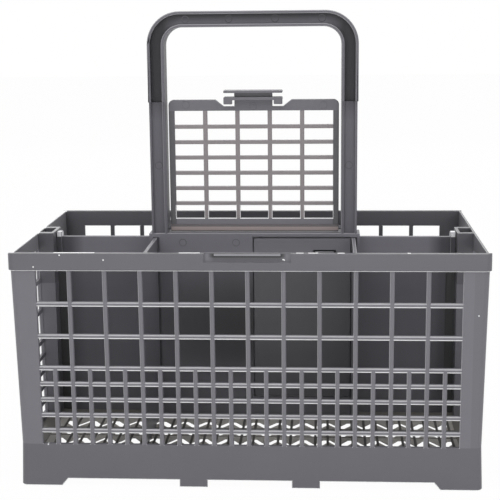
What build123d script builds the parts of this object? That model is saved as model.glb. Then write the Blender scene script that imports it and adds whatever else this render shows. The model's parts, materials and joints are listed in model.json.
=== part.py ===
from build123d import *
import os

# Tub: overall sizes over the rim band, from the soles of the feet up
rim_length = 240.8
rim_depth = 135.0
rim_height = 123.0
band_height = 9.0
band_overhang = 0.7
wall = 2.0
wall_lean = 1.85
corner_radius = 3.5

# Tub: skirt, feet and floor
skirt_top = 22.4
skirt_flare = 0.75
foot_height = 3.8
foot_slope = 3.2
corner_foot_length = 20.6
mid_foot_width = 14.3
mid_foot_offset = 28.9
floor_top = 20.0
floor_thickness = 2.2
floor_column_pitch = 26.88
floor_column_pairs = 4
floor_rows = 4
floor_row_pitch = 13.6
floor_rib = 3.4
floor_slant = 5.0
floor_border = 1.0

# Tub: window grid of large cells above and small cells below
column_pitch = 17.92
long_columns = 12
end_column_pitch = 22.2
end_columns = 2
end_margin = 0.5
large_rows = 3
large_pitch = 16.8
small_rows = 5
grid_split = 62.9
bar = 2.3

# Tub: cross walls and the sockets on the end walls
cross_wall = 1.8
cross_wall_column = 3
cross_wall_drop = 3.4
socket_reach = 10.5
socket_depth = 19.6
socket_wall_end = 1.6
socket_wall_side = 3.0

# Tub: catch for the lid in the front of the rim band
catch_recess_length = 43.0
catch_recess_height = 3.2
catch_recess_depth = 1.2
catch_lip_length = 33.0
catch_lip_height = 1.3
catch_lip_setback = 0.5

# Handle: loop of channel section on a hollow box with two divider plates
handle_height = 240.7
loop_width = 112.0
loop_depth = 12.0
leg_width = 9.0
leg_step = 0.45
grip_height = 8.4
loop_outer_radius = 17.5
loop_inner_radius = 9.5
flange = 1.6
deep_channel = 4.2
shallow_channel = 1.6
deep_channel_from = 193.0
box_length = 114.4
box_wall = 3.0
box_post = 7.0
box_rail = 3.4
divider_thickness = 2.2
divider_drop = 3.4
divider_tab = 11.0
divider_notch = 4.8
divider_bead = 2.8
divider_bead_depth = 5.0
divider_bead_drop = 0.9
groove_depth = 1.6
groove_play = 1.2
cross_wall_entry = 1.0

# Lid: grid flap that turns on two moulded pins between the legs
lid_gap = 1.2
lid_top = 193.9
lid_thickness = 2.4
lid_setback = 0.3
lid_side = 3.1
lid_top_bar = 5.95
lid_bottom_bar = 5.2
lid_columns = 5
lid_column_pitch = 17.4
lid_upright = 2.3
lid_rows = 7
lid_row_pitch = 8.35
lid_end_row = 7.1
lid_bar = 2.1
lid_corner_radius = 3.0
lid_barrel_radius = 1.9
lid_pin_radius = 1.1
lid_pin_length = 3.4
lid_rim_gap = 1.0

# Lid: latch on the top bar
latch_length = 31.4
latch_neck = 20.4
latch_reach = 5.5
latch_lower_flange = 1.6
latch_web = 2.2
latch_web_setback = 4.0
latch_upper_flange = 1.4
latch_notch_bottom = 190.3
latch_notch_slope = 4.5
hook_length = 4.6
hook_drop = 2.2
hook_depth = 2.6

# Wall panel: snap-in plate in the front of the box
panel_thickness = 1.8
panel_bottom = 30.0
panel_ledge = 1.6
panel_top_gap = 0.9
panel_side_gap = 0.7
panel_start = -0.8
panel_rail = 2.0
tongue_width = 10.4
tongue_length = 14.0
tongue_offset = 12.4
tongue_below_top = 6.3
tongue_slit = 0.9

# Clearances
fit_gap = 0.3
pin_gap = 0.05
hinge_gap = 0.25

# Places worked out from the sizes above
band_bottom = rim_height - band_height
wall_x = rim_length / 2 - band_overhang
wall_y = rim_depth / 2 - band_overhang
floor_bottom = floor_top - floor_thickness
small_pitch = (grid_split - skirt_top + bar / 2) / small_rows
cross_wall_x = cross_wall_column * column_pitch
cross_wall_top = rim_height - cross_wall_drop
socket_face = wall_x - socket_reach
box_half = loop_depth / 2
hinge_z = rim_height + lid_rim_gap + lid_setback
box_top = hinge_z - lid_barrel_radius - hinge_gap
leg_inner = loop_width / 2 - leg_width
lid_half = leg_inner - lid_gap
divider_end = socket_face - fit_gap
divider_top = rim_height - divider_drop
groove_width = cross_wall + fit_gap + groove_play
groove_shift = (groove_play - fit_gap) / 2
box_inner = box_length / 2 - box_post


def lean_at(z):
    """How far a leaning wall stands in from its top line at height z."""
    return wall_lean * (rim_height - z) / (rim_height - skirt_top)


def flare_at(z):
    """How far the skirt stands out from its top line at height z."""
    return skirt_flare * (skirt_top - z) / skirt_top


def wall_half_sizes(z, inset):
    """Half length and half depth of the leaning walls at height z, moved in by inset."""
    shift = lean_at(z) + inset
    return wall_x - shift, wall_y - shift


def skirt_half_sizes(z, inset):
    """Half length and half depth of the flared skirt at height z, moved in by inset."""
    shift = wall_lean - flare_at(z) + inset
    return wall_x - shift, wall_y - shift


def arch_outline(half_length):
    """Gap between two corner feet, with sloped ends."""
    return Polygon(
        (-half_length - foot_slope, 0),
        (-half_length, foot_height),
        (half_length, foot_height),
        (half_length + foot_slope, 0),
        align=None,
    )


def grid_windows(pitch, columns, small_split):
    """Windows of one wall: rows of large ones up to the band, over rows of small ones."""
    large_centre = grid_split + (large_rows - 1) * large_pitch / 2
    top_row_bottom = grid_split + (large_rows - 1) * large_pitch + bar / 2
    small_centre = grid_split - small_rows * small_pitch / 2
    with BuildSketch() as windows:
        with Locations((0, large_centre)):
            with GridLocations(pitch, large_pitch, columns, large_rows - 1):
                Rectangle(pitch - bar, large_pitch - bar)
        with Locations((0, (top_row_bottom + band_bottom) / 2)):
            with GridLocations(pitch, 0, columns, 1):
                Rectangle(pitch - bar, band_bottom - top_row_bottom)
        with Locations((0, small_centre)):
            with GridLocations(pitch / small_split, small_pitch, columns * small_split, small_rows):
                Rectangle(pitch / small_split - bar, small_pitch - bar)
    return windows.sketch


def slanted_hole(slant):
    """One floor hole, a parallelogram with its far edge moved along by slant."""
    half_x = (floor_column_pitch - floor_rib - abs(slant)) / 2
    half_y = (floor_row_pitch - floor_rib) / 2
    return Polygon(
        (-half_x - slant / 2, -half_y),
        (half_x - slant / 2, -half_y),
        (half_x + slant / 2, half_y),
        (-half_x + slant / 2, half_y),
        align=None,
    )


with BuildPart() as basket:
    # Flared skirt, leaning walls and the rim band
    outer_stretches = ((0, skirt_top, skirt_half_sizes), (skirt_top, rim_height, wall_half_sizes))
    for low, high, half_sizes in outer_stretches:
        for z in (low, high):
            half_x, half_y = half_sizes(z, 0)
            with BuildSketch(Plane.XY.offset(z)):
                RectangleRounded(2 * half_x, 2 * half_y, corner_radius)
        loft()
    with BuildSketch(Plane.XY.offset(band_bottom)):
        RectangleRounded(rim_length, rim_depth, corner_radius)
    extrude(amount=band_height)

    # Inside above the floor and the space below it
    inner_stretches = ((floor_top, rim_height, wall_half_sizes), (0, floor_bottom, skirt_half_sizes))
    for low, high, half_sizes in inner_stretches:
        for z in (low, high):
            half_x, half_y = half_sizes(z, wall)
            with BuildSketch(Plane.XY.offset(z)):
                Rectangle(2 * half_x, 2 * half_y)
        loft(mode=Mode.SUBTRACT)

    # Gaps between the feet, along the long sides and the ends
    with BuildSketch(Plane.XZ):
        arch_outline(wall_x - wall_lean - corner_foot_length - foot_slope)
        with GridLocations(2 * mid_foot_offset, 0, 2, 1):
            Rectangle(mid_foot_width, 2 * foot_height, mode=Mode.SUBTRACT)
    extrude(amount=rim_depth, both=True, mode=Mode.SUBTRACT)
    with BuildSketch(Plane.YZ):
        arch_outline(wall_y - wall_lean - corner_foot_length - foot_slope)
    extrude(amount=rim_length, both=True, mode=Mode.SUBTRACT)

    # Cross walls from the long walls to the grooves of the divider box
    cross_wall_tip = box_half - cross_wall_entry
    cross_wall_root = wall_y - lean_at(floor_top) - wall / 2
    for place in (-cross_wall_x, cross_wall_x):
        with BuildSketch(Plane.YZ.offset(place)):
            for side in (-1, 1):
                Polygon(
                    (side * cross_wall_tip, floor_bottom),
                    (side * cross_wall_root, floor_bottom),
                    (side * (wall_y - wall / 2), cross_wall_top),
                    (side * cross_wall_tip, cross_wall_top),
                    align=None,
                )
        extrude(amount=cross_wall / 2, both=True)

    # Sockets on the end walls, open at the top
    socket_root = wall_x - wall_lean
    with BuildSketch(Plane.XY.offset(floor_bottom)):
        with GridLocations(socket_face + socket_root, 0, 2, 1):
            Rectangle(socket_root - socket_face, socket_depth)
    extrude(amount=rim_height - floor_bottom)
    hollow_start = socket_face + socket_wall_end
    for side in (-1, 1):
        for z in (floor_top, rim_height):
            hollow_end = wall_half_sizes(z, wall)[0]
            with BuildSketch(Plane.XY.offset(z)):
                with Locations((side * (hollow_start + hollow_end) / 2, 0)):
                    Rectangle(hollow_end - hollow_start, socket_depth - 2 * socket_wall_side)
        loft(mode=Mode.SUBTRACT)

    # Catch for the lid in the front of the band: a recess with a lip along the middle of its top
    top_middle = (Align.CENTER, Align.MAX)
    with BuildSketch(Plane.XZ.offset(rim_depth / 2)):
        with Locations((0, rim_height)):
            Rectangle(catch_recess_length, catch_lip_height + catch_recess_height, align=top_middle)
            Rectangle(catch_lip_length, catch_lip_height, align=top_middle, mode=Mode.SUBTRACT)
    extrude(amount=-catch_recess_depth, mode=Mode.SUBTRACT)
    with BuildSketch(Plane.XZ.offset(rim_depth / 2)):
        with Locations((0, rim_height)):
            Rectangle(catch_lip_length, catch_lip_height, align=top_middle)
    extrude(amount=-catch_lip_setback, mode=Mode.SUBTRACT)

    # Slanted holes in the floor, leaning by turns, clear of the divider in the middle
    rows_depth = floor_rows * floor_row_pitch
    rows_start = wall_y - lean_at(floor_top) - wall - floor_border
    pair_pitch = 2 * floor_column_pitch
    with BuildSketch(Plane.XY.offset(floor_bottom)):
        for side in (-1, 1):
            for turn in (-1, 1):
                with Locations((turn * floor_column_pitch / 2, side * (rows_start - rows_depth / 2))):
                    with GridLocations(pair_pitch, floor_row_pitch, floor_column_pairs, floor_rows):
                        slanted_hole(turn * floor_slant)
    extrude(amount=floor_thickness, mode=Mode.SUBTRACT, clean=False)

    # Windows in the long walls, cut through both at once
    with BuildSketch(Plane.XZ.offset(rim_depth / 2)):
        add(grid_windows(column_pitch, long_columns, 2))
    extrude(amount=-rim_depth, mode=Mode.SUBTRACT, clean=False)

    # Windows in the end walls, from the sides of the sockets outwards
    end_cut = band_overhang + wall_lean + wall + fit_gap
    end_centre = socket_depth / 2 + end_margin + (end_columns * end_column_pitch - bar) / 2
    for side in (-1, 1):
        with BuildSketch(Plane.YZ.offset(side * rim_length / 2)):
            with GridLocations(2 * end_centre, 0, 2, 1):
                add(grid_windows(end_column_pitch, end_columns, 1))
        extrude(amount=-side * end_cut, mode=Mode.SUBTRACT, clean=False)


def loop_outline(inset, bottom):
    """Inverted U of the handle, moved in by inset from every side."""
    outer = loop_width / 2 - inset
    inner = leg_inner + inset
    top = handle_height - inset
    under = handle_height - grip_height + inset
    with BuildSketch() as opening:
        with Locations((0, bottom)):
            Rectangle(2 * inner, under - bottom, align=(Align.CENTER, Align.MIN))
        fillet(opening.vertices().group_by(Axis.Y)[-1], loop_inner_radius + inset)
    with BuildSketch() as outline:
        with Locations((0, bottom)):
            Rectangle(2 * outer, top - bottom, align=(Align.CENTER, Align.MIN))
        fillet(outline.vertices().group_by(Axis.Y)[-1], loop_outer_radius - inset)
        add(opening.sketch, mode=Mode.SUBTRACT)
    return outline.sketch


with BuildPart() as handle:
    # Loop with a deep channel round the top and shallow channels down the legs
    with BuildSketch(Plane.XZ):
        add(loop_outline(0, box_top - box_rail))
    extrude(amount=box_half, both=True)
    for side in (-1, 1):
        face = Plane.XZ.offset(side * box_half)
        with BuildSketch(face):
            add(loop_outline(flange, deep_channel_from))
        extrude(amount=-side * deep_channel, mode=Mode.SUBTRACT)
        with BuildSketch(face):
            with Locations((0, box_top)):
                with GridLocations(loop_width - leg_width, 0, 2, 1):
                    Rectangle(
                        leg_width - 2 * flange,
                        deep_channel_from - box_top,
                        align=(Align.CENTER, Align.MIN),
                    )
        extrude(amount=-side * shallow_channel, mode=Mode.SUBTRACT)

    # Legs below the deep channel, a little slimmer on the outside
    with BuildSketch(Plane.XZ):
        with Locations((0, box_top)):
            with GridLocations(loop_width - leg_step, 0, 2, 1):
                Rectangle(leg_step, deep_channel_from - box_top, align=(Align.CENTER, Align.MIN))
    extrude(amount=box_half, both=True, mode=Mode.SUBTRACT)

    # Box between the legs, hollow from below
    with BuildSketch(Plane.XY.offset(floor_top)):
        Rectangle(box_length, loop_depth)
    extrude(amount=box_top - floor_top)
    with BuildSketch(Plane.XY.offset(floor_top)):
        Rectangle(2 * box_inner, loop_depth - 2 * box_wall)
    extrude(amount=box_top - box_rail - floor_top, mode=Mode.SUBTRACT)

    # Divider plates, each with a beaded tab at the top of its end
    tab_bottom = divider_top - divider_tab
    with BuildSketch(Plane.XY.offset(floor_top)):
        Rectangle(2 * (divider_end - divider_notch), divider_thickness)
        Rectangle(box_length, loop_depth, mode=Mode.SUBTRACT)
    extrude(amount=divider_top - floor_top)
    with BuildSketch(Plane.XY.offset(tab_bottom)):
        with GridLocations(2 * divider_end - divider_notch, 0, 2, 1):
            Rectangle(divider_notch, divider_thickness)
    extrude(amount=divider_tab)
    with BuildSketch(Plane.XY.offset(tab_bottom)):
        with GridLocations(2 * divider_end - divider_bead, 0, 2, 1):
            Rectangle(divider_bead, divider_bead_depth)
    extrude(amount=rim_height - divider_bead_drop - tab_bottom)

    # Grooves for the cross walls, with their play to the right
    with BuildSketch(Plane.XY.offset(floor_top)):
        with Locations((groove_shift, 0)):
            with GridLocations(2 * cross_wall_x, loop_depth, 2, 2):
                Rectangle(groove_width, 2 * groove_depth)
    extrude(amount=cross_wall_top + fit_gap - floor_top, mode=Mode.SUBTRACT)

    # Blind holes for the pins of the lid
    with BuildSketch(Plane.YZ):
        with Locations((0, hinge_z)):
            Circle(lid_pin_radius + pin_gap)
    extrude(amount=lid_half + lid_pin_length + fit_gap, both=True, mode=Mode.SUBTRACT)

    # Rebate for the snap-in panel in the front of the box, as far as the right groove
    rebate_top = box_top - panel_rail
    rebate_end = cross_wall_x - cross_wall / 2 - fit_gap
    rebate_depth = panel_thickness + fit_gap / 2
    low_left = (Align.MIN, Align.MIN)
    with BuildSketch(Plane.XZ.offset(box_half)):
        with Locations((panel_start, panel_bottom)):
            Rectangle(rebate_end - panel_start, rebate_top - panel_bottom, align=low_left)
    extrude(amount=-rebate_depth, mode=Mode.SUBTRACT)

    # Opening behind the panel, inside a ledge
    opening_start = panel_start + panel_ledge
    opening_bottom = panel_bottom + panel_ledge
    opening_top = box_top - box_rail - panel_ledge
    with BuildSketch(Plane.XZ.offset(box_half)):
        with Locations((opening_start, opening_bottom)):
            Rectangle(box_inner - opening_start, opening_top - opening_bottom, align=low_left)
    extrude(amount=-box_wall, mode=Mode.SUBTRACT)

with BuildPart() as lid:
    # Flat grid with rounded top corners and a notch on each side of the latch
    cell_bottom = hinge_z + lid_bottom_bar
    cell_top = lid_top - lid_top_bar
    cell_half = lid_half - lid_side
    bars_height = (lid_rows - 2) * lid_row_pitch + lid_bar
    with BuildSketch(Plane.XZ.offset(lid_setback)):
        with Locations((0, hinge_z)):
            Rectangle(2 * lid_half, lid_top - hinge_z, align=(Align.CENTER, Align.MIN))
        fillet(vertices().group_by(Axis.Y)[-1], lid_corner_radius)
        with Locations((0, (cell_bottom + cell_top) / 2)):
            Rectangle(2 * cell_half, cell_top - cell_bottom, mode=Mode.SUBTRACT)
            with GridLocations(lid_column_pitch, 0, lid_columns - 1, 1):
                Rectangle(lid_upright, cell_top - cell_bottom)
        with Locations((0, cell_bottom + lid_end_row + bars_height / 2)):
            with GridLocations(0, lid_row_pitch, 1, lid_rows - 1):
                Rectangle(2 * cell_half, lid_bar)
        with BuildSketch(Plane.XY, mode=Mode.SUBTRACT):
            notch_end = latch_length / 2 + fit_gap
            with BuildLine():
                Polyline(
                    (latch_neck / 2, latch_notch_bottom),
                    (notch_end, latch_notch_bottom),
                    (notch_end + latch_notch_slope, lid_top),
                    (latch_neck / 2, lid_top),
                    close=True,
                )
            make_face()
            mirror(about=Plane.YZ)
    extrude(amount=-lid_thickness)

    # Hinge barrel with a pin at each end
    with BuildSketch(Plane.YZ):
        with Locations((0, hinge_z)):
            Circle(lid_barrel_radius)
    extrude(amount=lid_half, both=True)
    with BuildSketch(Plane.YZ):
        with Locations((0, hinge_z)):
            Circle(lid_pin_radius)
    extrude(amount=lid_half + lid_pin_length, both=True)

    # Latch: two flanges on a web that stands back, with a hook under each end
    lower_top = lid_top + latch_lower_flange
    web_top = lower_top + latch_web
    lid_back = lid_thickness - lid_setback
    bottom_middle = (Align.CENTER, Align.MIN)
    with BuildSketch(Plane.XZ.offset(latch_reach)):
        with Locations((0, lid_top)):
            Rectangle(latch_length, latch_lower_flange, align=bottom_middle)
        with Locations((0, web_top)):
            Rectangle(latch_length, latch_upper_flange, align=bottom_middle)
    extrude(amount=-latch_reach - lid_back)
    with BuildSketch(Plane.XZ.offset(latch_reach - latch_web_setback)):
        with Locations((0, lower_top)):
            Rectangle(latch_neck, latch_web, align=bottom_middle)
    extrude(amount=-latch_reach + latch_web_setback - lid_back)
    with BuildSketch(Plane.XZ.offset(latch_reach)):
        with Locations((0, lid_top)):
            with GridLocations(latch_length - hook_length, 0, 2, 1):
                Rectangle(hook_length, hook_drop, align=(Align.CENTER, Align.MAX))
    extrude(amount=-hook_depth)

with BuildPart() as wall_panel:
    # Plate that sits in the rebate, with a springy tongue near its top
    panel_left = panel_start + panel_side_gap
    panel_right = rebate_end - fit_gap
    panel_low = panel_bottom + fit_gap
    panel_top = rebate_top - panel_top_gap
    panel_back = box_half - rebate_depth
    tongue_x = (panel_start + rebate_end) / 2 + tongue_offset
    slit_top = panel_top - tongue_below_top
    with BuildSketch(Plane.XZ.offset(panel_back)):
        with Locations((panel_left, panel_low)):
            Rectangle(panel_right - panel_left, panel_top - panel_low, align=low_left)
        with Locations((tongue_x, slit_top)):
            Rectangle(
                tongue_width + 2 * tongue_slit,
                tongue_length,
                align=top_middle,
                mode=Mode.SUBTRACT,
            )
        with Locations((tongue_x, slit_top - tongue_slit)):
            Rectangle(tongue_width, tongue_length, align=top_middle)
    extrude(amount=panel_thickness)

os.makedirs("parts", exist_ok=True)
pieces = {"basket": basket, "handle": handle, "lid": lid, "wall_panel": wall_panel}
for name, piece in pieces.items():
    piece.part.label = name
    export_step(piece.part, f"parts/{name}.step")
    print(name, len(piece.part.solids()), round(piece.part.volume / 1000, 2), "cm3")
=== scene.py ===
# %% [markdown]
# # A dishwasher cutlery basket in a white studio
#
# The basket is four plastic mouldings: a grid-walled tub, a handle with a divider, a small snap-in
# panel and a hinged grid lid. Their measured solids come in as a fixed frame, in metres, with +Z up.
# They could be modelled again here, but then two sets of sizes would have to agree. So this lesson
# dresses them: it rounds their moulded edges, adds the fine detail that a mould leaves behind, and
# gives them a satin grey finish under soft light.

# %% Load the measured frame
import bmesh
import bpy
import json
import math
from mathutils import Matrix, Vector


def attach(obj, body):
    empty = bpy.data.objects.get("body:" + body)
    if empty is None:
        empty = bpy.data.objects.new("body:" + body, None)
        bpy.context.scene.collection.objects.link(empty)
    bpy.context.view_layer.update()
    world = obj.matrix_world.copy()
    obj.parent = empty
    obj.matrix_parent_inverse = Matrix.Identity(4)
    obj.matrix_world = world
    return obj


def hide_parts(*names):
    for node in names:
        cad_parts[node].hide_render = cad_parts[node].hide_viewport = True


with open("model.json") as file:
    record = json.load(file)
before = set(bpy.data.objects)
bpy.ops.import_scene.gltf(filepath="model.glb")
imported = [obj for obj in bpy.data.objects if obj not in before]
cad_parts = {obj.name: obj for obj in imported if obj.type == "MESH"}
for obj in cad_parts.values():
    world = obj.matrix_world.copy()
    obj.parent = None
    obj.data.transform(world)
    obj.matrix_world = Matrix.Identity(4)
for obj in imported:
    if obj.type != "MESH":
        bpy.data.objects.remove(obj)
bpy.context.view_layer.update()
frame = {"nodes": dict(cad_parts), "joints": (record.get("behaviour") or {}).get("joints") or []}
nodes = frame["nodes"]
scene = bpy.context.scene
mm = 0.001

# %% [markdown]
# ## The camera
#
# The photograph was taken from a little above the rim and slightly to the right. A camera could be
# moved by hand until the picture looks alike, but then a wrong lens hides behind a wrong distance. This
# one was fitted to the corners of the rim, the feet and the handle, which fixes its place, its turn and
# its lens together. So a point of the frame lands on its own pixel.

# %% Place the camera
photo_width_px = 500
focal_px = 1240.4
sensor_width_mm = 36.0
camera_place = Vector((38.28, -666.64, 241.13)) * mm
yaw, pitch, roll = (math.radians(angle) for angle in (3.509, 10.964, 0.570))

ahead = Vector((
    -math.sin(yaw) * math.cos(pitch),
    math.cos(yaw) * math.cos(pitch),
    -math.sin(pitch),
))
level_right = Vector((math.cos(yaw), math.sin(yaw), 0.0))
level_down = ahead.cross(level_right)
right = level_right * math.cos(roll) + level_down * math.sin(roll)
down = level_down * math.cos(roll) - level_right * math.sin(roll)

camera_data = bpy.data.cameras.new("photo_camera")
camera_data.sensor_width = sensor_width_mm
camera_data.lens = focal_px * sensor_width_mm / photo_width_px
camera = bpy.data.objects.new("photo_camera", camera_data)
scene.collection.objects.link(camera)
axes = Matrix((right, -down, -ahead)).transposed().to_4x4()
camera.matrix_world = Matrix.Translation(camera_place) @ axes
scene.camera = camera
print("lens in mm:", round(camera_data.lens, 2))

# %% [markdown]
# ## Shader sums in plain Python
#
# A finish could be a list of nodes and links, but it is easier to read as a formula. One small class
# holds a socket and takes part in Python sums, so `1 - mask` adds a Math node by itself. Every other
# kind of node comes from its `make` method, which sets the node up first and then fills its sockets.


# %% A socket that takes part in sums
class Shade:
    """A shader socket that can be added, multiplied, compared and linked."""

    def __init__(self, tree, socket=None):
        self.tree = tree
        self.socket = socket

    def make(self, kind, settings=None, links=None, output=0):
        node = self.tree.nodes.new(kind)
        for key, value in (settings or {}).items():
            setattr(node, key, value)
        for key, value in (links or {}).items():
            if isinstance(value, Shade):
                self.tree.links.new(value.socket, node.inputs[key])
            else:
                node.inputs[key].default_value = value
        return Shade(self.tree, node.outputs[output] if node.outputs else None)

    def other(self, output):
        """Another output of the node that this socket belongs to."""
        return Shade(self.tree, self.socket.node.outputs[output])

    def sum(self, operation, first, second=0.0, clamp=False):
        settings = {"operation": operation, "use_clamp": clamp}
        return self.make("ShaderNodeMath", settings, {0: first, 1: second})

    def __add__(self, other):
        return self.sum("ADD", self, other)

    __radd__ = __add__

    def __mul__(self, other):
        return self.sum("MULTIPLY", self, other)

    __rmul__ = __mul__

    def __sub__(self, other):
        return self.sum("SUBTRACT", self, other)

    def __rsub__(self, other):
        return self.sum("SUBTRACT", other, self)

    def __abs__(self):
        return self.sum("ABSOLUTE", self)

    def __gt__(self, level):
        return self.sum("GREATER_THAN", self, level)

    def __lt__(self, level):
        return self.sum("LESS_THAN", self, level)

    def positive(self):
        return self.sum("MAXIMUM", self, 0.0)

    def clamped(self):
        return self.sum("ADD", self, 0.0, clamp=True)

    def mixed(self, first, second):
        """The colour between two others that this socket's value picks."""
        settings = {"data_type": "RGBA"}
        links = {"Factor": self, "A": first, "B": second}
        return self.make("ShaderNodeMix", settings, links, output="Result")


print("Shade:", Shade.__doc__)

# %% [markdown]
# ## Starting a material
#
# A new material comes with a surface and an output that would have to be found and changed. It is
# simpler to clear its node tree and to build what is needed. Three helpers start a material, end it
# with its output and turn a colour into the four numbers that a socket takes.


# %% Start and end a material
def new_material(name):
    """An empty node material and a Shade to start its formulas from."""
    material = bpy.data.materials.new(name)
    material.use_nodes = True
    material.node_tree.nodes.clear()
    return material, Shade(material.node_tree)


def finish_material(start, surface):
    """Link a surface to the output of its material."""
    start.make("ShaderNodeOutputMaterial", links={"Surface": surface})


def opaque(colour, level=1.0):
    """A colour times a level, with full alpha."""
    return tuple(part * level for part in colour) + (1.0,)


white = opaque((1.0, 1.0, 1.0))
print("white for a socket:", white)

# %% [markdown]
# ## The studio floor
#
# The photograph is a cut-out on white. A backdrop of pure white would lose the faint shadow under the
# basket, so a pale paper floor catches it. To the camera and in reflections, the paper is almost fully
# mixed with a white glow, so no horizon shows. All other light still meets the paper.

# %% Lay the floor
scene.view_settings.view_transform = "Standard"
floor_size = 8.0
paper_shade = (0.86, 0.86, 0.86)
floor_whiteness = 0.975


def seen_directly(start):
    """1 for rays from the camera, in a reflection or through glass, else 0."""
    camera_ray = start.make("ShaderNodeLightPath", output="Is Camera Ray")
    glossy_ray = camera_ray.other("Is Glossy Ray")
    return (camera_ray + glossy_ray + camera_ray.other("Is Transmission Ray")).clamped()


bpy.ops.object.select_all(action="DESELECT")
bpy.ops.mesh.primitive_plane_add(size=floor_size, location=(0, 0, 0))
floor = bpy.context.active_object
floor.name = "studio_floor"
floor.data.name = "studio_floor"

floor_material, floor_start = new_material("studio_floor")
paper = floor_start.make("ShaderNodeBsdfDiffuse", links={"Color": opaque(paper_shade)})
glow = floor_start.make("ShaderNodeEmission", links={"Color": white, "Strength": 1.0})
floor_mix = floor_start.make(
    "ShaderNodeMixShader",
    links={0: seen_directly(floor_start) * floor_whiteness, 1: paper, 2: glow},
)
finish_material(floor_start, floor_mix)
floor.data.materials.append(floor_material)
print("floor side in metres:", floor_size)

# %% [markdown]
# ## The sky
#
# Light from all sides fills the deep grid. A picture of a studio could give it, but an even sky is
# enough here, at about the level where a colour renders as it is written. Where the sky is seen
# directly it is lifted to plain white.

# %% Light the sky
sky_strength = 0.55
world = bpy.data.worlds.new("studio_sky")
world.use_nodes = True
world.node_tree.nodes.clear()
scene.world = world
sky = Shade(world.node_tree)
sky_level = seen_directly(sky) * (1.0 - sky_strength) + sky_strength
background = sky.make("ShaderNodeBackground", links={"Color": white, "Strength": sky_level})
sky.make("ShaderNodeOutputWorld", links={"Surface": background})
print("sky strength:", sky_strength)

# %% [markdown]
# ## The lamps
#
# Five large lamps add what the photograph shows: a key lamp at the front left, a fill on the right, a
# soft one overhead, a low card in front, which lights the undersides of the bars, and a weak one
# behind, which leaves a sheen on level faces. Small lamps would draw hard shadows into the grid. Each is
# given as a brightness per area, so that its size can change and its brightness stay.

# %% Set up the lamps
basket_middle = (0.0, 0.0, 0.1)
top_of_lid = (0.0, 0.0, 0.2)


def add_lamp(name, place, target, width, height, radiance):
    """A rectangular lamp that the camera does not see, as bright as asked per square metre."""
    lamp_data = bpy.data.lights.new(name, "AREA")
    lamp_data.shape = "RECTANGLE"
    lamp_data.size = width
    lamp_data.size_y = height
    lamp_data.energy = radiance * math.pi * width * height
    lamp = bpy.data.objects.new(name, lamp_data)
    scene.collection.objects.link(lamp)
    lamp.location = place
    lamp.rotation_euler = (Vector(target) - Vector(place)).to_track_quat("-Z", "Y").to_euler()
    lamp.visible_camera = False
    print(name, "watts:", round(lamp_data.energy, 1))


add_lamp("key_lamp", (-0.8, -1.2, 1.3), basket_middle, 0.9, 0.9, 2.0)
add_lamp("fill_lamp", (1.2, -0.7, 1.1), basket_middle, 0.9, 0.9, 1.9)
add_lamp("top_lamp", (0.0, -0.1, 1.5), basket_middle, 1.2, 0.9, 2.4)
add_lamp("front_card", (0.0, -1.1, 0.14), basket_middle, 1.4, 0.24, 2.1)
add_lamp("back_lamp", (-0.1, 1.5, 0.55), top_of_lid, 1.3, 0.8, 0.8)

# %% [markdown]
# ## The satin grey plastic
#
# The pieces are moulded in one grey plastic. Its colour drifts a little from place to place, where the
# melt flowed, and its skin has a fine grain that softens reflections. A painted picture could carry
# both, but noise needs no unwrapping and keeps its scale on every piece.
#
# Bevelled edges catch more light than flat walls, so they get a painted highlight. The finish reads
# the way a face looks, in the object's own axes, and paints edges that look down, up or to the left
# lighter, each by its own share, more in some patches than in others.

# %% Plastic finish
plain_grey = (0.152, 0.149, 0.168)
# The light colour that painted highlights mix towards: on bevels, rim stretches, the left lip, the nibs
# and the lid.
painted_highlight = (0.95, 0.95, 0.96)
cloud_noise = {"Scale": 24.0, "Detail": 3.0, "Roughness": 0.55}
grain_noise = {"Scale": 1600.0, "Detail": 2.0, "Roughness": 0.6}
cloud_share = 0.75
grain_strength = 0.12
grain_depth = 0.2 * mm
roughness_spread = 0.12
# How strong the painted highlight of the edges is, varying from patch to patch with the cloud noise.
highlight_least = 0.75
highlight_spread = 0.5


def places_along(vector):
    """The parts of a vector along X, Y and Z."""
    along_x = vector.make("ShaderNodeSeparateXYZ", links={"Vector": vector})
    return along_x, along_x.other("Y"), along_x.other("Z")


def edge_shine(start, lower, upper, sideways):
    """How much painted highlight a face gets that looks down, up or to the left."""
    looks = start.make("ShaderNodeTexCoord", output="Normal")
    looks_right, _, looks_up = places_along(looks)
    shine = (looks_up * -lower).positive() + (looks_up * upper).positive()
    return shine + (looks_right * -sideways).positive()


def moulded_plastic(name, colour, roughness=0.42, drift=0.10, specular=0.5, tint=None, edge=None):
    """Satin plastic. A tint gives (mask, colour) pairs, an edge the shares of painted highlight down, up
    and left.
    """
    material, start = new_material(name)
    place = start.make("ShaderNodeTexCoord", output="Object")
    x, y, z = places_along(place)
    cloud = start.make("ShaderNodeTexNoise", links={"Vector": place, **cloud_noise})
    grain = start.make("ShaderNodeTexNoise", links={"Vector": place, **grain_noise})
    tone = cloud * cloud_share + grain * (1.0 - cloud_share)

    def drifting(plain):
        return tone.mixed(opaque(plain, 1.0 - drift), opaque(plain, 1.0 + drift))

    shade = drifting(colour)
    for mask, tinted in tint(x, y, z) if tint else ():
        shade = mask.mixed(shade, drifting(tinted))
    if edge:
        shares = edge(x, y, z) if callable(edge) else edge
        shine = edge_shine(start, *shares)
        highlight_patches = cloud * highlight_spread + highlight_least
        shade = (shine * highlight_patches).clamped().mixed(shade, opaque(painted_highlight))
    bump_links = {"Strength": grain_strength, "Distance": grain_depth, "Height": grain}
    skin_links = {
        "Base Color": shade,
        "Roughness": grain * roughness_spread + (roughness - roughness_spread / 2),
        "Specular IOR Level": specular,
        "Normal": start.make("ShaderNodeBump", links=bump_links),
    }
    finish_material(start, start.make("ShaderNodeBsdfPrincipled", links=skin_links))
    print(name, "nodes:", len(material.node_tree.nodes))
    return material


print("plain grey:", plain_grey)

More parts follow.
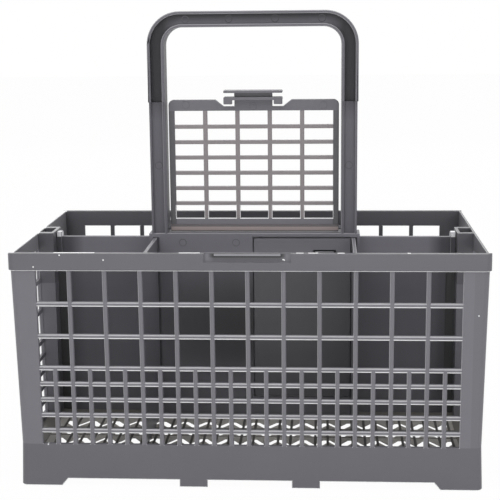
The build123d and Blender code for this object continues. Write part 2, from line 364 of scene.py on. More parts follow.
# %% [markdown]
# ## Choosing what an operator acts on
#
# An operator acts on all that is selected, just as it does by hand. So each step first deselects
# everything, and then selects faces, edges or corners in code, by where they are or which way they
# look.


# %% Select parts of a piece
def select_only(piece):
    """Select one piece and make it active."""
    bpy.ops.object.select_all(action="DESELECT")
    piece.select_set(True)
    bpy.context.view_layer.objects.active = piece


def deselect_parts(piece, kind):
    """Make a piece active, with none of its faces, edges or corners selected."""
    select_only(piece)
    bpy.ops.object.mode_set(mode="EDIT")
    bpy.ops.mesh.select_mode(type=kind)
    bpy.ops.mesh.select_all(action="DESELECT")
    bpy.ops.object.mode_set(mode="OBJECT")


def select_faces(piece, wanted):
    """Enter edit mode with only the faces selected that are wanted."""
    deselect_parts(piece, "FACE")
    for face in piece.data.polygons:
        face.select = wanted(face)
    bpy.ops.object.mode_set(mode="EDIT")


def select_edges(piece, wanted):
    """Enter edit mode with only the edges selected that are wanted."""
    deselect_parts(piece, "EDGE")
    for edge in piece.data.edges:
        edge.select = wanted(edge)
    bpy.ops.object.mode_set(mode="EDIT")


def select_corners(piece, wanted):
    """Enter edit mode with only the corners selected that are wanted."""
    deselect_parts(piece, "VERT")
    for corner in piece.data.vertices:
        corner.select = wanted(corner.co)
    bpy.ops.object.mode_set(mode="EDIT")


print("solids to dress:", len(nodes))

# %% [markdown]
# ## Rounding the moulded edges
#
# A mould never leaves a knife edge. Each measured solid is copied, its triangles are joined into flat
# faces, and every outward edge gets a share of one bevel. One width for all edges would be simpler, but
# the bars of the grid have the widest bevels: their upper and lower edges slope, so the mould can open.
# The bevels get the edge finish with its painted highlight.

# %% Helpers for rounded copies
sharp_from = math.radians(50)
smooth_up_to = math.radians(30)
flat_within = math.radians(0.2)
same_place = 0.005 * mm


def joined_copy(node, name, finishes):
    """A copy of a measured solid with its triangles joined into flat faces."""
    piece = bpy.data.objects.new(name, node.data.copy())
    piece.data.name = name
    piece.data.materials.clear()
    for finish in finishes:
        piece.data.materials.append(finish)
    scene.collection.objects.link(piece)
    select_only(piece)
    bpy.ops.object.mode_set(mode="EDIT")
    bpy.ops.mesh.select_all(action="SELECT")
    bpy.ops.mesh.remove_doubles(threshold=same_place)
    bpy.ops.mesh.customdata_custom_splitnormals_clear()
    bpy.ops.mesh.dissolve_limited(angle_limit=flat_within)
    bpy.ops.object.mode_set(mode="OBJECT")
    return piece


def weigh_edges(piece, width_of):
    """Give each outward edge its share of the widest bevel, and return that and the count."""
    shape = bmesh.new()
    shape.from_mesh(piece.data)
    widths = {}
    for edge in shape.edges:
        if edge.is_convex and edge.calc_face_angle() > sharp_from:
            first, last = (corner.co for corner in edge.verts)
            normals = [face.normal for face in edge.link_faces]
            widths[edge.index] = width_of((first + last) / 2, (last - first).normalized(), normals)
    widest = max(widths.values())
    weights = shape.edges.layers.float.new("bevel_weight_edge")
    for edge in shape.edges:
        edge[weights] = widths.get(edge.index, 0.0) / widest
    shape.to_mesh(piece.data)
    shape.free()
    return widest, sum(width > 0 for width in widths.values())


def round_edges(piece, width_of):
    """Bevel the outward edges of a piece, each by what width_of gives for its middle and way."""
    select_only(piece)
    bpy.ops.object.mode_set(mode="EDIT")
    bpy.ops.mesh.select_all(action="SELECT")
    bpy.ops.mesh.vert_connect_concave()
    bpy.ops.object.mode_set(mode="OBJECT")
    widest, count = weigh_edges(piece, width_of)
    bevel = piece.modifiers.new("moulded_edges", "BEVEL")
    bevel.limit_method = "WEIGHT"
    bevel.width = widest
    bevel.segments = 1
    bevel.material = 1
    bevel.use_clamp_overlap = False
    bpy.ops.object.modifier_apply(modifier=bevel.name)
    bpy.ops.object.shade_smooth_by_angle(angle=smooth_up_to)
    print(piece.name, "edges bevelled:", count)


def stand_in(piece, node_name, body):
    """Let a rounded copy stand in for its measured solid."""
    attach(piece, body)
    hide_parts(node_name)


print("an edge is sharp from degrees:", round(math.degrees(sharp_from)))

# %% [markdown]
# ## The tub
#
# The tub is drawn from one mould: grid walls that lean in, a rim band, a skirt with feet and a slotted
# floor. It could be bevelled all over, but bevels inside do not show, and the small edges of the catch
# for the lid would be eaten up. So a function gives each edge its width, by its place and its way. A
# way counts as upright when mostly along Z.

# %% Bevels of the tub
band_bottom = 114.0 * mm
skirt_top = 22.4 * mm
outside_y = 62.0 * mm
outside_x = 112.0 * mm
catch_half = 22.0 * mm
catch_bottom = 118.0 * mm
bar_bevel = 0.65 * mm
upright_bevel = 0.30 * mm
rim_bevel = 0.25 * mm
foot_bevel = 0.40 * mm
hair = 0.1 * mm
skirt_edge = 0.3 * mm
mostly = 0.5


def tub_bevel(middle, way, normals):
    """The bevel of an edge of the tub. Edges on the inside and in the catch have none."""
    outward_y = any(normal.y * middle.y > mostly * outside_y for normal in normals)
    outward_x = any(normal.x * middle.x > mostly * outside_x for normal in normals)
    outside = (outward_y and abs(middle.y) > outside_y) or (outward_x and abs(middle.x) > outside_x)
    if middle.z > band_bottom - hair:
        in_catch = abs(middle.x) < catch_half and middle.y < -outside_y and middle.z > catch_bottom
        return 0.0 if in_catch else rim_bevel
    if not outside:
        return 0.0
    if middle.z < skirt_top + skirt_edge:
        return foot_bevel if middle.z < skirt_top - skirt_edge else 0.0
    return upright_bevel if abs(way.z) > mostly else bar_bevel


print("widest bevel of the tub in mm:", round(bar_bevel / mm, 2))

# %% [markdown]
# ## Masks from places
#
# In a deep grid some places get little light and others a lot. More lamps could not set one place right
# without spoiling the next, so the colour itself is made lighter or darker. A mask is 1 where a tint
# goes and 0 elsewhere, and it is worked out from the coordinates, so no picture is needed.


# %% Helpers for masks
def between(value, low, high):
    """1 between two levels, else 0."""
    return (value > low) * (value < high)


def rising(value, start, width):
    """0 up to the start, and 1 from a width beyond it."""
    return ((value - start) * (1 / width)).clamped()


def falling(value, stop, width):
    """1 up to a width before the stop, and 0 beyond the stop."""
    return ((stop - value) * (1 / width)).clamped()


def spots(x, z, places, radius):
    """1 inside small round spots at the given places, else 0."""
    inside = 0.0
    for spot_x, spot_z in places:
        aside = x - spot_x * mm
        above = z - spot_z * mm
        inside = inside + (aside * aside + above * above < radius * radius)
    return inside


print("grid walls from", round(skirt_top / mm, 1), "to", round(band_bottom / mm, 1), "mm")

# %% [markdown]
# ## The rim
#
# The flat top of the rim gets painted shade, darker than the walls, and short stretches of its front
# get a painted highlight where they catch the light. The lip and the socket at its left end get a
# painted highlight too. Each could be a face with its own material, but a mask with a colour leaves the
# mesh whole. The bevels of the tub take the same tints, and those at the rim are lightened less than
# those of the bars.

# %% Tints of the rim
rim_top = 123.0 * mm
rim_flat_from = rim_top - 0.3 * mm
rim_lip_from = rim_top - 0.7 * mm
rim_bevels_from = rim_top - 1.0 * mm
# Stretches of the front rim that get a painted highlight, from and to X in mm.
highlighted_depth = 66.6 * mm
highlighted = ((-96.9, -76.3), (-34.0, -23.6), (24.2, 27.9), (30.2, 35.0), (44.6, 48.2), (79.0, 80.5))
left_lip_x = -117.0 * mm
left_lip_half = 66.0 * mm
socket_from = 109.0 * mm
socket_ring_half = 10.5 * mm
# Painted shade for the flat top of the rim, and a painted highlight for the ring of the left socket.
rim_top_shade = (0.085, 0.083, 0.094)
socket_highlight = (0.26, 0.26, 0.27)
# Shares of painted highlight on bevels that look down, up and left, and how much less it is at the rim.
bar_edge_lower = 1.35
bar_edge_upper = 0.50
bar_edge_left = 0.30
rim_edge_loss = 0.38


def rim_tint(x, y, z):
    """Painted shade and highlights of the rim, as pairs of a mask and a colour. A later pair covers an
    earlier one.
    """
    on_flat = z > rim_flat_from
    on_front = on_flat * between(y, -highlighted_depth, -outside_y)
    stretches = 0.0
    for start, stop in highlighted:
        stretches = stretches + between(x, start * mm, stop * mm)
    left_socket = on_flat * (x < -socket_from) * (abs(y) < socket_ring_half)
    left_lip = (z > rim_lip_from) * (x < left_lip_x) * (abs(y) < left_lip_half)
    return [
        (on_flat, rim_top_shade),
        (on_front * stretches, painted_highlight),
        (left_socket, socket_highlight),
        (left_lip, painted_highlight),
    ]


def tub_edge_highlight(x, y, z):
    """The shares of painted highlight on bevels of the tub that look down, up and left."""
    at_rim = z > rim_bevels_from
    return bar_edge_lower, bar_edge_upper - at_rim * rim_edge_loss, bar_edge_left


print("burnished stretches:", len(highlighted))

# %% [markdown]
# ## Light and shade on the tub
#
# The floor sees less light, so it is painted darker, and it is a little brown. The ends catch more
# light, the back wall lies in shade, and the skirt, the band, the right post and the sockets get a
# little painted shade. The catch is a recess with a thin lip in front: the recess is painted lighter,
# then painted darker up to the lip, and the lip gets a painted highlight. The mould leaves small nibs
# on the front, which shine as white dots. Each is too small to model, so its glint is painted as a
# round spot.

# %% Places on the tub
inner_x = 115.5 * mm
inner_y = 62.8 * mm
back_wall_to = 65.2 * mm
back_shade_from = 80.0 * mm
end_wall_to = 117.9 * mm
end_light_from = 95.0 * mm
end_light_half = 64.0 * mm
socket_half = 10.0 * mm
post_from = 60.0 * mm
floor_top = 20.0 * mm
floor_tint_to = floor_top + 0.3 * mm
recess_from = 65.5 * mm
lip_from = 66.8 * mm
lip_to = 67.2 * mm
lip_half = 19.5 * mm
lip_end_fade = 3.0 * mm
recess_fade = 1.6 * mm
under_lip_from = 120.4 * mm
under_lip_fade = 0.9 * mm
# Nibs of the mould on the front, in mm; their glints are painted as white spots.
nibs = ((17.8, 119.8), (18.4, 119.6), (-71.7, 119.6), (-107.1, 116.0), (76.5, 124.5), (-93.7, 122.0),
        (114.4, 91.6), (-103.8, 22.1), (-19.1, 108.9))
nib_radius = 0.35 * mm
print("nibs:", len(nibs))

# %% Tints of the tub
# Painted shade on the skirt, band, right post, back, sockets and floor (also a little brown), painted
# light on the ends and recess, a painted highlight on the lip.
skirt_shade = (0.112, 0.110, 0.124)
band_shade = (0.115, 0.113, 0.128)
right_post_shade = (0.136, 0.134, 0.150)
back_shade = (0.098, 0.096, 0.108)
end_light = (0.185, 0.181, 0.198)
left_end_light = (0.226, 0.221, 0.240)
socket_shade = (0.102, 0.100, 0.112)
floor_brown_shade = (0.135, 0.128, 0.116)
recess_painted_light = (0.150, 0.147, 0.166)
recess_dim = (0.088, 0.086, 0.097)
recess_shade = (0.004, 0.004, 0.005)
lip_highlight = (0.26, 0.26, 0.28)


def tub_tint(x, y, z):
    """Painted light and shade of the tub, as pairs of a mask and a colour. A later pair covers an
    earlier one.
    """
    inside = (abs(x) < inner_x) * (abs(y) < inner_y)
    on_back = between(y, outside_y, back_wall_to) * (z > back_shade_from)
    on_end = between(abs(x), outside_x, end_wall_to) * (z > end_light_from) * (abs(y) < end_light_half)
    at_socket = between(abs(x), socket_from, end_wall_to) * (abs(y) < socket_half)
    on_right_post = (x > outside_x) * (y < -post_from) * between(z, skirt_top, band_bottom)
    in_catch = (abs(x) < catch_half) * (z > catch_bottom)
    in_recess = in_catch * between(y, -lip_from, -recess_from)
    on_lip = in_catch * between(y, -lip_to, -lip_from)
    behind_lip = in_recess * falling(abs(x), lip_half, lip_end_fade)
    return [
        ((z < skirt_top) * (1 - inside), skirt_shade),
        ((z > band_bottom) * (1 - inside), band_shade),
        (on_right_post, right_post_shade),
        (on_back, back_shade),
        (on_end, end_light),
        (on_end * (x < 0.0), left_end_light),
        (at_socket * (z > end_light_from), socket_shade),
        ((z < floor_tint_to) * inside, floor_brown_shade),
        (in_recess, recess_painted_light),
        (behind_lip * rising(z, catch_bottom, recess_fade), recess_dim),
        (behind_lip * rising(z, under_lip_from, under_lip_fade), recess_shade),
        (on_lip, lip_highlight),
        ((y < -outside_y) * spots(x, z, nibs, nib_radius), painted_highlight),
    ] + rim_tint(x, y, z)


tub_grey = moulded_plastic("satin_tub_grey", plain_grey, tint=tub_tint)
tub_edges = moulded_plastic("tub_edges", plain_grey, tint=rim_tint, edge=tub_edge_highlight)

# %% [markdown]
# ## Cutting and rounding the tub
#
# Two things are cut before the edges are rounded. The plain floor makes room for a finer lattice, and a
# ledge is cut into the end rims, which leaves a thin lip. Faces could be pushed about by hand, but a
# block with a Boolean modifier takes out just its own space.

# %% Cut and round the tub
floor_thickness = 4.0 * mm
lattice_cut = 4.04 * mm
lattice_length = 2 * 107.5 * mm
lattice_from = 7.5 * mm
lattice_to = 61.9 * mm
lattice_depth = lattice_to - lattice_from
lattice_middle = (lattice_from + lattice_to) / 2
lip_outside = 118.8 * mm
ledge_cut = 3.0 * mm
ledge_front = -64.8 * mm
ledge_back = 66.4 * mm
ledge_drop = 2.5 * mm


def add_block(place, size):
    """A block of this size, which becomes the active object."""
    bpy.ops.object.select_all(action="DESELECT")
    bpy.ops.mesh.primitive_cube_add(size=1, location=place)
    block = bpy.context.active_object
    block.scale = size
    bpy.ops.object.transform_apply(location=True, rotation=True, scale=True)
    return block


def cut_away(piece, place, size):
    """Take a block out of a piece."""
    block = add_block(place, size)
    select_only(piece)
    cut = piece.modifiers.new("cut", "BOOLEAN")
    cut.operation = "DIFFERENCE"
    cut.solver = "EXACT"
    cut.object = block
    bpy.ops.object.modifier_apply(modifier=cut.name)
    bpy.data.objects.remove(block)


tub = joined_copy(nodes["basket"], "tub_rounded", (tub_grey, tub_edges))
for side in (-1, 1):
    lattice_place = (0, side * lattice_middle, floor_top - floor_thickness / 2)
    cut_away(tub, lattice_place, (lattice_length, lattice_depth, lattice_cut))
    ledge_place = (side * (lip_outside + ledge_cut / 2), (ledge_front + ledge_back) / 2, rim_top)
    cut_away(tub, ledge_place, (ledge_cut, ledge_back - ledge_front, 2 * ledge_drop))
round_edges(tub, tub_bevel)
stand_in(tub, "basket", "tub")

# %% [markdown]
# ## The handle
#
# The handle is a channel on edge: two flanges and a web, so a thin wall is stiff. A profile swept along
# a curve could give the loop, but not its steps and tabs, so the measured solid is rounded. The steps
# where the channel gets deep stay sharp.

# %% Bevels of the handle
box_top = 122.15 * mm
pin_hole_top = 126.0 * mm
loop_bevel = 0.40 * mm
box_bevel = 0.25 * mm
box_edges_from = 100.0 * mm
deep_channel_from = 193.0 * mm
step_reach = 0.6 * mm


def handle_bevel(middle, way, normals):
    """The bevel of an edge of the handle: wide on the loop, narrow on the box."""
    if middle.z > pin_hole_top:
        on_step = abs(middle.z - deep_channel_from) < step_reach and abs(way.x) > mostly
        return 0.0 if on_step else loop_bevel
    if middle.z > box_top + hair:
        return loop_bevel if abs(way.z) > mostly else 0.0
    return box_bevel if middle.z > box_edges_from else 0.0


print("bevel of the loop in mm:", round(loop_bevel / mm, 2))

# %% [markdown]
# ## Light and shade on the handle
#
# The web lies deep in the upper part, where little light gets in, apart from the lower part of the grip,
# and the legs are a little darker. The box between the legs stands in the tub: it is lit from above,
# shaded by the rim and the sockets, lighter low down, and darkest in the middle. The tabs at its ends
# catch the light. All of this is painted light and shade in the colour. Darker materials on single
# faces could show this, but masks let the shade fade out softly.

# %% Places on the handle
flange_front = 5.6 * mm
grip_web_top = 238.6 * mm
grip_web_height = 5.0 * mm
grip_end_from = 38.0 * mm
grip_end_fade = 10.0 * mm
leg_from = box_top + 2 * hair
leg_to = deep_channel_from + hair
step_fade = 10.0 * mm
box_to = box_top - hair
box_front = 5.0 * mm
rim_shadow_top = 110.0 * mm
rim_shadow_fade = 6.0 * mm
low_light_top = 88.0 * mm
low_light_fade = 40.0 * mm
socket_shadow_from = 94.0 * mm
socket_shadow_fade = 7.5 * mm
tab_from = 105.9 * mm
tab_light_from = 119.5 * mm
box_shadow_x = -8.0 * mm
box_shadow_z = 72.0 * mm
box_shadow_width = 46.0 * mm
box_shadow_height = 34.0 * mm
print("legs from", round(leg_from / mm, 2), "to", round(leg_to / mm, 2), "mm")

# %% Tints of the handle
# Painted light and shade on the handle: darker legs and channel, a lighter web low in the grip, a lit
# box with shade at its rim, sockets and middle, lighter low down, and lit tabs.
leg_shade = (0.129, 0.126, 0.143)
step_shade = (0.088, 0.086, 0.097)
channel_shade = (0.058, 0.057, 0.064)
web_light = (0.225, 0.222, 0.245)
box_light = (0.185, 0.181, 0.204)
box_shade = (0.108, 0.106, 0.119)
low_light = (0.130, 0.127, 0.142)
socket_shadow = (0.089, 0.087, 0.098)
tab_light = (0.80, 0.80, 0.82)
box_shadow = (0.048, 0.047, 0.050)
# Shares of painted highlight on the handle's bevels that look down, up and left.
handle_edge_highlight = (0.30, 0.25, 0.15)


def handle_tint(x, y, z):
    """Painted light and shade of the handle, as pairs of a mask and a colour. A later pair covers an
    earlier one.
    """
    on_leg = between(z, leg_from, leg_to)
    near_step = rising(z, deep_channel_from - step_fade, step_fade)
    in_channel = (z > deep_channel_from) * (abs(y) < flange_front)
    low_in_grip = falling(z, grip_web_top, grip_web_height)
    in_leg = rising(abs(x), grip_end_from, grip_end_fade)
    on_box = z < box_to
    aside = (x - box_shadow_x) * (1 / box_shadow_width)
    below = (z - box_shadow_z) * (1 / box_shadow_height)
    in_shadow = (1 - (aside * aside + below * below)).clamped()
    return [
        (on_leg, leg_shade),
        (on_leg * near_step, step_shade),
        (in_channel, channel_shade),
        (in_channel * low_in_grip * (1 - in_leg), web_light),
        (on_box, box_light),
        (on_box * falling(z, rim_shadow_top, rim_shadow_fade), box_shade),
        (on_box * falling(z, low_light_top, low_light_fade), low_light),
        (on_box * rising(abs(x), socket_shadow_from, socket_shadow_fade), socket_shadow),
        ((abs(x) > tab_from) * between(z, tab_light_from, box_top), tab_light),
        (on_box * in_shadow * (y < -box_front), box_shadow),
    ]


handle_grey = moulded_plastic("satin_handle_grey", plain_grey, specular=0.12, tint=handle_tint)
handle_edges = moulded_plastic("handle_edges", plain_grey, specular=0.2, edge=handle_edge_highlight)
handle = joined_copy(nodes["handle"], "handle_rounded", (handle_grey, handle_edges))
round_edges(handle, handle_bevel)
stand_in(handle, "handle", "tub")

# %% [markdown]
# ## The panel
#
# A small plate with a springy tongue snaps into the front of the box. The slits beside the tongue are a
# little shorter than in the solid, so that they end behind the rim. They could be cut anew, but it is
# enough to move the corners at their lower ends.

# %% Shorten the slits and round the panel
slit_bottom = 98.95 * mm
slit_lift = 4.0 * mm
panel_bevel = 0.2 * mm
panel_shade = (0.073, 0.071, 0.080)
# Shares of painted highlight on the panel's bevels that look down, up and left.
panel_edge_highlight = (0.2, 0.2, 0.1)


def shorten_slits(piece):
    """Move the lower ends of the tongue's slits up, behind the rim."""
    select_corners(piece, lambda corner: abs(corner.z - slit_bottom) < hair)
    bpy.ops.transform.translate(value=(0, 0, slit_lift))
    bpy.ops.object.mode_set(mode="OBJECT")


def panel_tint(x, y, z):
    """Painted shade: the panel gets darker below the rim."""
    return [(falling(z, rim_shadow_top, rim_shadow_fade), panel_shade)]


panel_grey = moulded_plastic("satin_panel_grey", plain_grey, tint=panel_tint)
panel_edges = moulded_plastic("panel_edges", plain_grey, edge=panel_edge_highlight)
panel = joined_copy(nodes["wall_panel"], "panel_rounded", (panel_grey, panel_edges))
shorten_slits(panel)
round_edges(panel, lambda middle, way, normals: panel_bevel)
stand_in(panel, "wall_panel", "tub")

# %% [markdown]
# ## The finish of the lid
#
# The lid is a flat grid with a barrel along its foot and a latch on top. Its thin ribs and the barrel
# are warmer than its frame, as thin plastic lets some light through. Light could be let into the
# plastic, which takes long to render, so a warmer colour stands for it. The top and the sides of the
# frame and the barrel get painted shade, apart from a lighter band in the barrel's middle, and the
# bevels around the lowest row of holes get a painted reflection.

# %% Tints of the lid
hinge_z = frame["joints"][0]["pos_m"][2]
ribs_from = hinge_z + 5.2 * mm
ribs_to = 187.9 * mm
ribs_half = 42.6 * mm
bevel_reach = 0.6 * mm
lowest_row = 7.5 * mm
barrel_to = hinge_z + 2.0 * mm
barrel_half = 45.7 * mm
barrel_light_from = hinge_z - 1.4 * mm
barrel_light_to = hinge_z + 0.7 * mm
# Painted shade on the frame and the barrel, a warm colour for light through the ribs, and a lit warm
# band in the barrel's middle.
top_shade = (0.126, 0.123, 0.140)
side_shade = (0.086, 0.084, 0.094)
rib_warm = (0.227, 0.202, 0.211)
barrel_shade = (0.110, 0.098, 0.104)
barrel_warm = (0.317, 0.262, 0.258)
# Shares of painted highlight on the lid's bevels that look down, up and left.
lid_edge_highlight = (0.15, 0.2, 0.1)


def lid_tint(x, y, z):
    """Painted light and shade of the lid, as pairs of a mask and a colour. A later pair covers an
    earlier one.
    """
    on_sides = between(z, barrel_to, ribs_to) * (abs(x) > ribs_half)
    on_ribs = between(z, ribs_from, ribs_to) * (abs(x) < ribs_half)
    on_barrel = (z < barrel_to) * (abs(x) < barrel_half)
    return [
        (z > ribs_to, top_shade),
        (on_sides, side_shade),
        (on_ribs, rib_warm),
        (on_barrel, barrel_shade),
        (on_barrel * between(z, barrel_light_from, barrel_light_to), barrel_warm),
    ]


def lid_bevel_tint(x, y, z):
    """The same tints, and a painted reflection on the bevels around the lowest row of holes."""
    beside_row = between(z, ribs_from - bevel_reach, ribs_from + lowest_row)
    return lid_tint(x, y, z) + [(beside_row * (abs(x) < ribs_half + bevel_reach), painted_highlight)]


lid_grey = moulded_plastic("satin_lid_grey", plain_grey, tint=lid_tint)
lid_edges = moulded_plastic("lid_edges", plain_grey, tint=lid_bevel_tint, edge=lid_edge_highlight)

# %% [markdown]
# ## The shape of the lid
#
# The lid turns on pins at the ends of the barrel. The front of the barrel is flat on the real lid. A
# block could cut it off, but scaling its front corners to nothing along Y presses it flat in one move.

# %% Flatten the barrel and round the lid
barrel_flat = 1.2 * mm
lid_bevel = 0.25 * mm


def flatten_barrel(piece):
    """Press the front of the hinge barrel flat."""
    select_corners(piece, lambda corner: corner.y < -barrel_flat and corner.z < barrel_to)
    bpy.ops.transform.resize(value=(1, 0, 1), center_override=(0, -barrel_flat, hinge_z))
    bpy.ops.object.mode_set(mode="OBJECT")


lid = joined_copy(nodes["lid"], "lid_rounded", (lid_grey, lid_edges))
flatten_barrel(lid)
round_edges(lid, lambda middle, way, normals: lid_bevel)
stand_in(lid, "lid", "flap")

# %% [markdown]
# ## The grid of the floor
#
# The real floor is a thin plate with slanting slots, so water runs out and a knife tip cannot drop
# through. Blades cross it from front to back. Slots could be cut one by one, but a flat grid holds them
# all: its columns lie between the blades, and every second row of its cells has a slot in each cell.

# %% Lay out the grid
plate_top = floor_top - 0.3 * mm
blade_pitch = 6.478 * mm
blade_count = 33
middle_blade_x = 1.15 * mm
first_blade_x = middle_blade_x - blade_count // 2 * blade_pitch
plate_half = lattice_length / 2
column_edges = [-plate_half]
column_edges += [first_blade_x + blade * blade_pitch for blade in range(blade_count)]
column_edges += [plate_half]
row_edges = [edge * mm for edge in (7.5, 9.0, 13.1, 20.2, 29.4, 32.0, 41.8, 47.4, 57.6, 61.9)]
columns = len(column_edges) - 1
rows = len(row_edges) - 1
new_grid_half = 0.5


def cell_of(place):
    """The column and the row of the grid that a place is in."""
    column = sum(place.x > edge for edge in column_edges[1:-1])
    row = sum(abs(place.y) > edge for edge in row_edges[1:-1])
    return column, row


def cell_middle(column, row, side):
    """The middle of a cell, in front of the divider or behind it."""
    x = (column_edges[column] + column_edges[column + 1]) / 2
    y = side * (row_edges[row] + row_edges[row + 1]) / 2
    return Vector((x, y, plate_top))


def has_slot(column, row):
    """Every second row has slots, apart from the narrow cells at its ends."""
    return row % 2 == 1 and 0 < column < columns - 1


def make_grid(side):
    """A flat grid with its cells parted from each other."""
    bpy.ops.object.select_all(action="DESELECT")
    bpy.ops.mesh.primitive_grid_add(x_subdivisions=columns, y_subdivisions=rows, size=1)
    plate = bpy.context.active_object
    for corner in plate.data.vertices:
        column = round((corner.co.x + new_grid_half) * columns)
        row = round((corner.co.y + new_grid_half) * rows)
        corner.co = (column_edges[column], side * row_edges[row], plate_top)
    bpy.ops.object.mode_set(mode="EDIT")
    bpy.ops.mesh.select_all(action="SELECT")
    bpy.ops.mesh.edge_split(type="EDGE")
    bpy.ops.object.mode_set(mode="OBJECT")
    return plate


print("cells on each side of the divider:", columns * rows)

# %% [markdown]
# ## The slots of the floor
#
# A cell with a slot is cut along a diagonal, and the diagonal is bevelled into a strip and taken out.
# The diagonals lean by turns, so pairs of slots point at every second blade. In the middle all slots
# are alike. Towards the left and the right, those that lean along the line of sight are wider and the
# others narrower, so that as much daylight comes through. What is left is extruded down.

# %% Model the slotted plate
plate_thickness = 0.25 * mm
wide_slot = 2.0 * mm
even_slot = 1.5 * mm
narrow_slot = 1.0 * mm
even_half = 36.0 * mm
least_slant = 1.0 * mm
strip_reach = 0.3 * mm
# The plate's own olive tone, painted lighter as painted light, because little light reaches the floor
# between the walls.
plate_olive_lightened = (0.36, 0.345, 0.325)
# Which way a diagonal leans, whether it is on the left, in the middle or on the right, and how far
# its strip reaches to each side.
slot_widths = (
    (-1, -1, wide_slot),
    (-1, 0, even_slot),
    (-1, 1, narrow_slot),
    (1, -1, narrow_slot),
    (1, 0, even_slot),
    (1, 1, wide_slot),
)


def is_slanted(mesh, edge, lean, zone):
    """Whether an edge is a diagonal that leans this way, on the left, in the middle or on the right."""
    first, last = (mesh.vertices[corner].co for corner in edge.vertices)
    way = last - first
    middle_x = (first.x + last.x) / 2
    edge_zone = 0 if abs(middle_x) < even_half else math.copysign(1, middle_x)
    slanted = abs(way.x) > least_slant and abs(way.y) > least_slant
    return slanted and way.x * way.y * lean > 0 and edge_zone == zone


def cut_diagonals(plate):
    """Cut the cells that get a slot along a diagonal, and bevel each diagonal into a strip."""

    def is_turn(face, turn):
        column, row = cell_of(face.center)
        return has_slot(column, row) and column % 2 == turn

    for turn, diagonal in ((1, "FIXED"), (0, "FIXED_ALTERNATE")):
        select_faces(plate, lambda face: is_turn(face, turn))
        bpy.ops.mesh.quads_convert_to_tris(quad_method=diagonal)
        bpy.ops.object.mode_set(mode="OBJECT")
    for lean, zone, half_width in slot_widths:
        select_edges(plate, lambda edge: is_slanted(plate.data, edge, lean, zone))
        bpy.ops.mesh.bevel(offset=half_width, segments=1, affect="EDGES")
        bpy.ops.object.mode_set(mode="OBJECT")


def open_slots(plate, side):
    """Take the strips out and make the plate solid."""

    def is_strip(face):
        column, row = cell_of(face.center)
        off_middle = (face.center - cell_middle(column, row, side)).length
        return has_slot(column, row) and off_middle < strip_reach

    select_faces(plate, is_strip)
    bpy.ops.mesh.delete(type="FACE")
    bpy.ops.mesh.select_all(action="SELECT")
    bpy.ops.mesh.extrude_region_move(TRANSFORM_OT_translate={"value": (0, 0, -plate_thickness)})
    bpy.ops.mesh.select_all(action="SELECT")
    bpy.ops.mesh.normals_make_consistent(inside=False)
    bpy.ops.object.mode_set(mode="OBJECT")


def part_of_tub(name, finish):
    """Name the active object as a part of the tub and give it its finish."""
    piece = bpy.context.active_object
    piece.name = name
    piece.data.name = name
    piece.data.materials.append(finish)
    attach(piece, "tub")
    print(name, "faces:", len(piece.data.polygons))


plate_finish = moulded_plastic("floor_plate_olive", plate_olive_lightened)
for side, end in ((-1, "front"), (1, "back")):
    floor_plate = make_grid(side)
    cut_diagonals(floor_plate)
    open_slots(floor_plate, side)
    part_of_tub(f"floor_plate_{end}", plate_finish)

# %% [markdown]
# ## The blades of the floor
#
# Blades run across the floor and three thinner ones along it, and they keep the thin plate from
# bending. All blades across are alike, so one bar is modelled and an Array modifier repeats it at one
# pitch. They get less light than the plate, so they are darker.

# %% Model the blades
blade_width = 1.3 * mm
blade_height = 0.7 * mm
cross_blade_width = 0.9 * mm
cross_blade_drop = 0.1 * mm
cross_blades = (30.7 * mm, 43.0 * mm, 58.8 * mm)
eased_edge = 0.15 * mm
blade_dark = (0.080, 0.077, 0.073)


def add_bar(place, size):
    """A bar with eased edges."""
    bar = add_block(place, size)
    bpy.ops.object.mode_set(mode="EDIT")
    bpy.ops.mesh.select_all(action="SELECT")
    bpy.ops.mesh.bevel(offset=eased_edge, segments=1)
    bpy.ops.object.mode_set(mode="OBJECT")
    return bar


def join_pieces(pieces):
    """Join pieces into the first of them."""
    select_only(pieces[0])
    for piece in pieces:
        piece.select_set(True)
    bpy.ops.object.join()


def add_blades(side):
    """One blade repeated across the floor, and three along it."""
    blade_z = floor_top - blade_height / 2
    first = (first_blade_x, side * lattice_middle, blade_z)
    blades = add_bar(first, (blade_width, lattice_depth, blade_height))
    repeat = blades.modifiers.new("repeat", "ARRAY")
    repeat.count = blade_count
    repeat.use_relative_offset = False
    repeat.use_constant_offset = True
    repeat.constant_offset_displace = (blade_pitch, 0, 0)
    bpy.ops.object.modifier_apply(modifier=repeat.name)
    bars = [blades]
    for y in cross_blades:
        place = (0, side * y, blade_z - cross_blade_drop)
        bars.append(add_bar(place, (lattice_length, cross_blade_width, blade_height)))
    join_pieces(bars)


blade_finish = moulded_plastic("floor_blade_shade", blade_dark)
for side, end in ((-1, "front"), (1, "back")):
    add_blades(side)
    part_of_tub(f"floor_blades_{end}", blade_finish)

# %% [markdown]
# ## The ends of the divider
#
# Each divider plate stops short of its socket, and the gap below its tab lies in deep shade. The plate
# could be made longer, but its fit in the socket is measured. So a thin bar, dark as painted shade,
# closes the gap, and no light comes through from the back.

# %% Model the end strips
strip_from = 103.9 * mm
strip_to = 109.2 * mm
strip_thickness = 0.8 * mm
strip_top = 108.6 * mm
# The colour of the bar is painted shade for the gap at the divider's end.
gap_shade_dark = (0.045, 0.045, 0.047)


def add_strip(side):
    """A dark bar of painted shade from the floor up to the tab."""
    height = strip_top - floor_top
    place = (side * (strip_from + strip_to) / 2, 0, floor_top + height / 2)
    add_bar(place, (strip_to - strip_from, strip_thickness, height))


strip_finish = moulded_plastic("divider_gap_shade", gap_shade_dark, roughness=0.6)
for side, end in ((-1, "left"), (1, "right")):
    add_strip(side)
    part_of_tub(f"divider_strip_{end}", strip_finish)

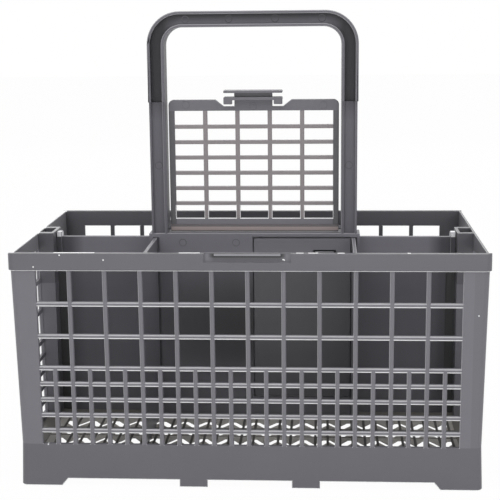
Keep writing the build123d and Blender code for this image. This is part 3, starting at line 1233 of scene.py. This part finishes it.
# %% [markdown]
# ## Ejector marks
#
# Pins push each moulding out of its mould and leave round marks on the faces that do not show. Here
# they show, in the channel of the grip, on the legs, on the box and along the top of the lid. A bump
# could draw them, but a shape catches the light from every side. One mark is a flat cylinder with its
# front inset and pressed in. It is copied to each place, and a ray from the front finds the face that
# it sits on.

# %% Model one mark
mark_radius = 2.1 * mm
mark_height = 0.12 * mm
mark_ring = 0.45 * mm
mark_dent = 0.7 * mark_height
mark_sides = 24
ring_corners = 4
looks_forward = -0.9
looks_partly_forward = -0.2


def make_mark():
    """One mark at the origin, which looks forward."""
    bpy.ops.object.select_all(action="DESELECT")
    quarter_turn = (math.radians(90), 0, 0)
    bpy.ops.mesh.primitive_cylinder_add(
        vertices=mark_sides, radius=mark_radius, depth=2 * mark_height, rotation=quarter_turn
    )
    mark = bpy.context.active_object
    bpy.ops.object.transform_apply(location=True, rotation=True, scale=True)
    select_faces(mark, lambda face: face.normal.y < looks_forward)
    bpy.ops.mesh.inset(thickness=mark_ring)
    bpy.ops.transform.translate(value=(0, mark_dent, 0))
    bpy.ops.object.mode_set(mode="OBJECT")
    for face in mark.data.polygons:
        in_ring = face.normal.y < looks_partly_forward and len(face.vertices) == ring_corners
        face.material_index = int(in_ring)
    return mark


print("mark width in mm:", round(2 * mark_radius / mm, 2))

# %% Set the marks on the handle and the lid
deep_places = ((-12.6, 236.5), (11.9, 236.5), (36.7, 236.5), (-51.15, 159.0), (51.15, 159.0))
faint_places = ((-35.7, 236.3), (-38.8, 117.0), (-9.8, 117.0))
lid_places = ((37.5, 190.8), (-36.3, 191.2), (-0.2, 190.4))
deep_shade = (0.068, 0.067, 0.075)
faint_shade = (0.112, 0.110, 0.123)
to_the_back = (0, 1, 0)


def add_marks(name, piece, places, finishes, body):
    """Copies of one mark on the front of a piece, joined into one object."""
    mark = make_mark()
    for finish in finishes:
        mark.data.materials.append(finish)
    copies = []
    for x, z in places:
        _, place, _, _ = piece.ray_cast((x * mm, -outside_y, z * mm), to_the_back)
        copy = bpy.data.objects.new(name, mark.data.copy())
        copy.data.transform(Matrix.Translation(place))
        scene.collection.objects.link(copy)
        copies.append(copy)
        print("mark at", x, z, "on a face at Y", round(place.y / mm, 2))
    bpy.data.objects.remove(mark)
    join_pieces(copies)
    marks = bpy.context.active_object
    marks.name = name
    marks.data.name = name
    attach(marks, body)


deep_ring = moulded_plastic("deep_mark_ring", deep_shade)
faint_ring = moulded_plastic("faint_mark_ring", faint_shade)
add_marks("handle_marks", handle, deep_places, (handle_grey, deep_ring), "tub")
add_marks("faint_handle_marks", handle, faint_places, (handle_grey, faint_ring), "tub")
add_marks("lid_marks", lid, lid_places, (lid_grey, faint_ring), "flap")

# %% [markdown]
# ## Sizes and the finished table
# The dressed basket has to stay in the measured box, and every piece rides on its body.
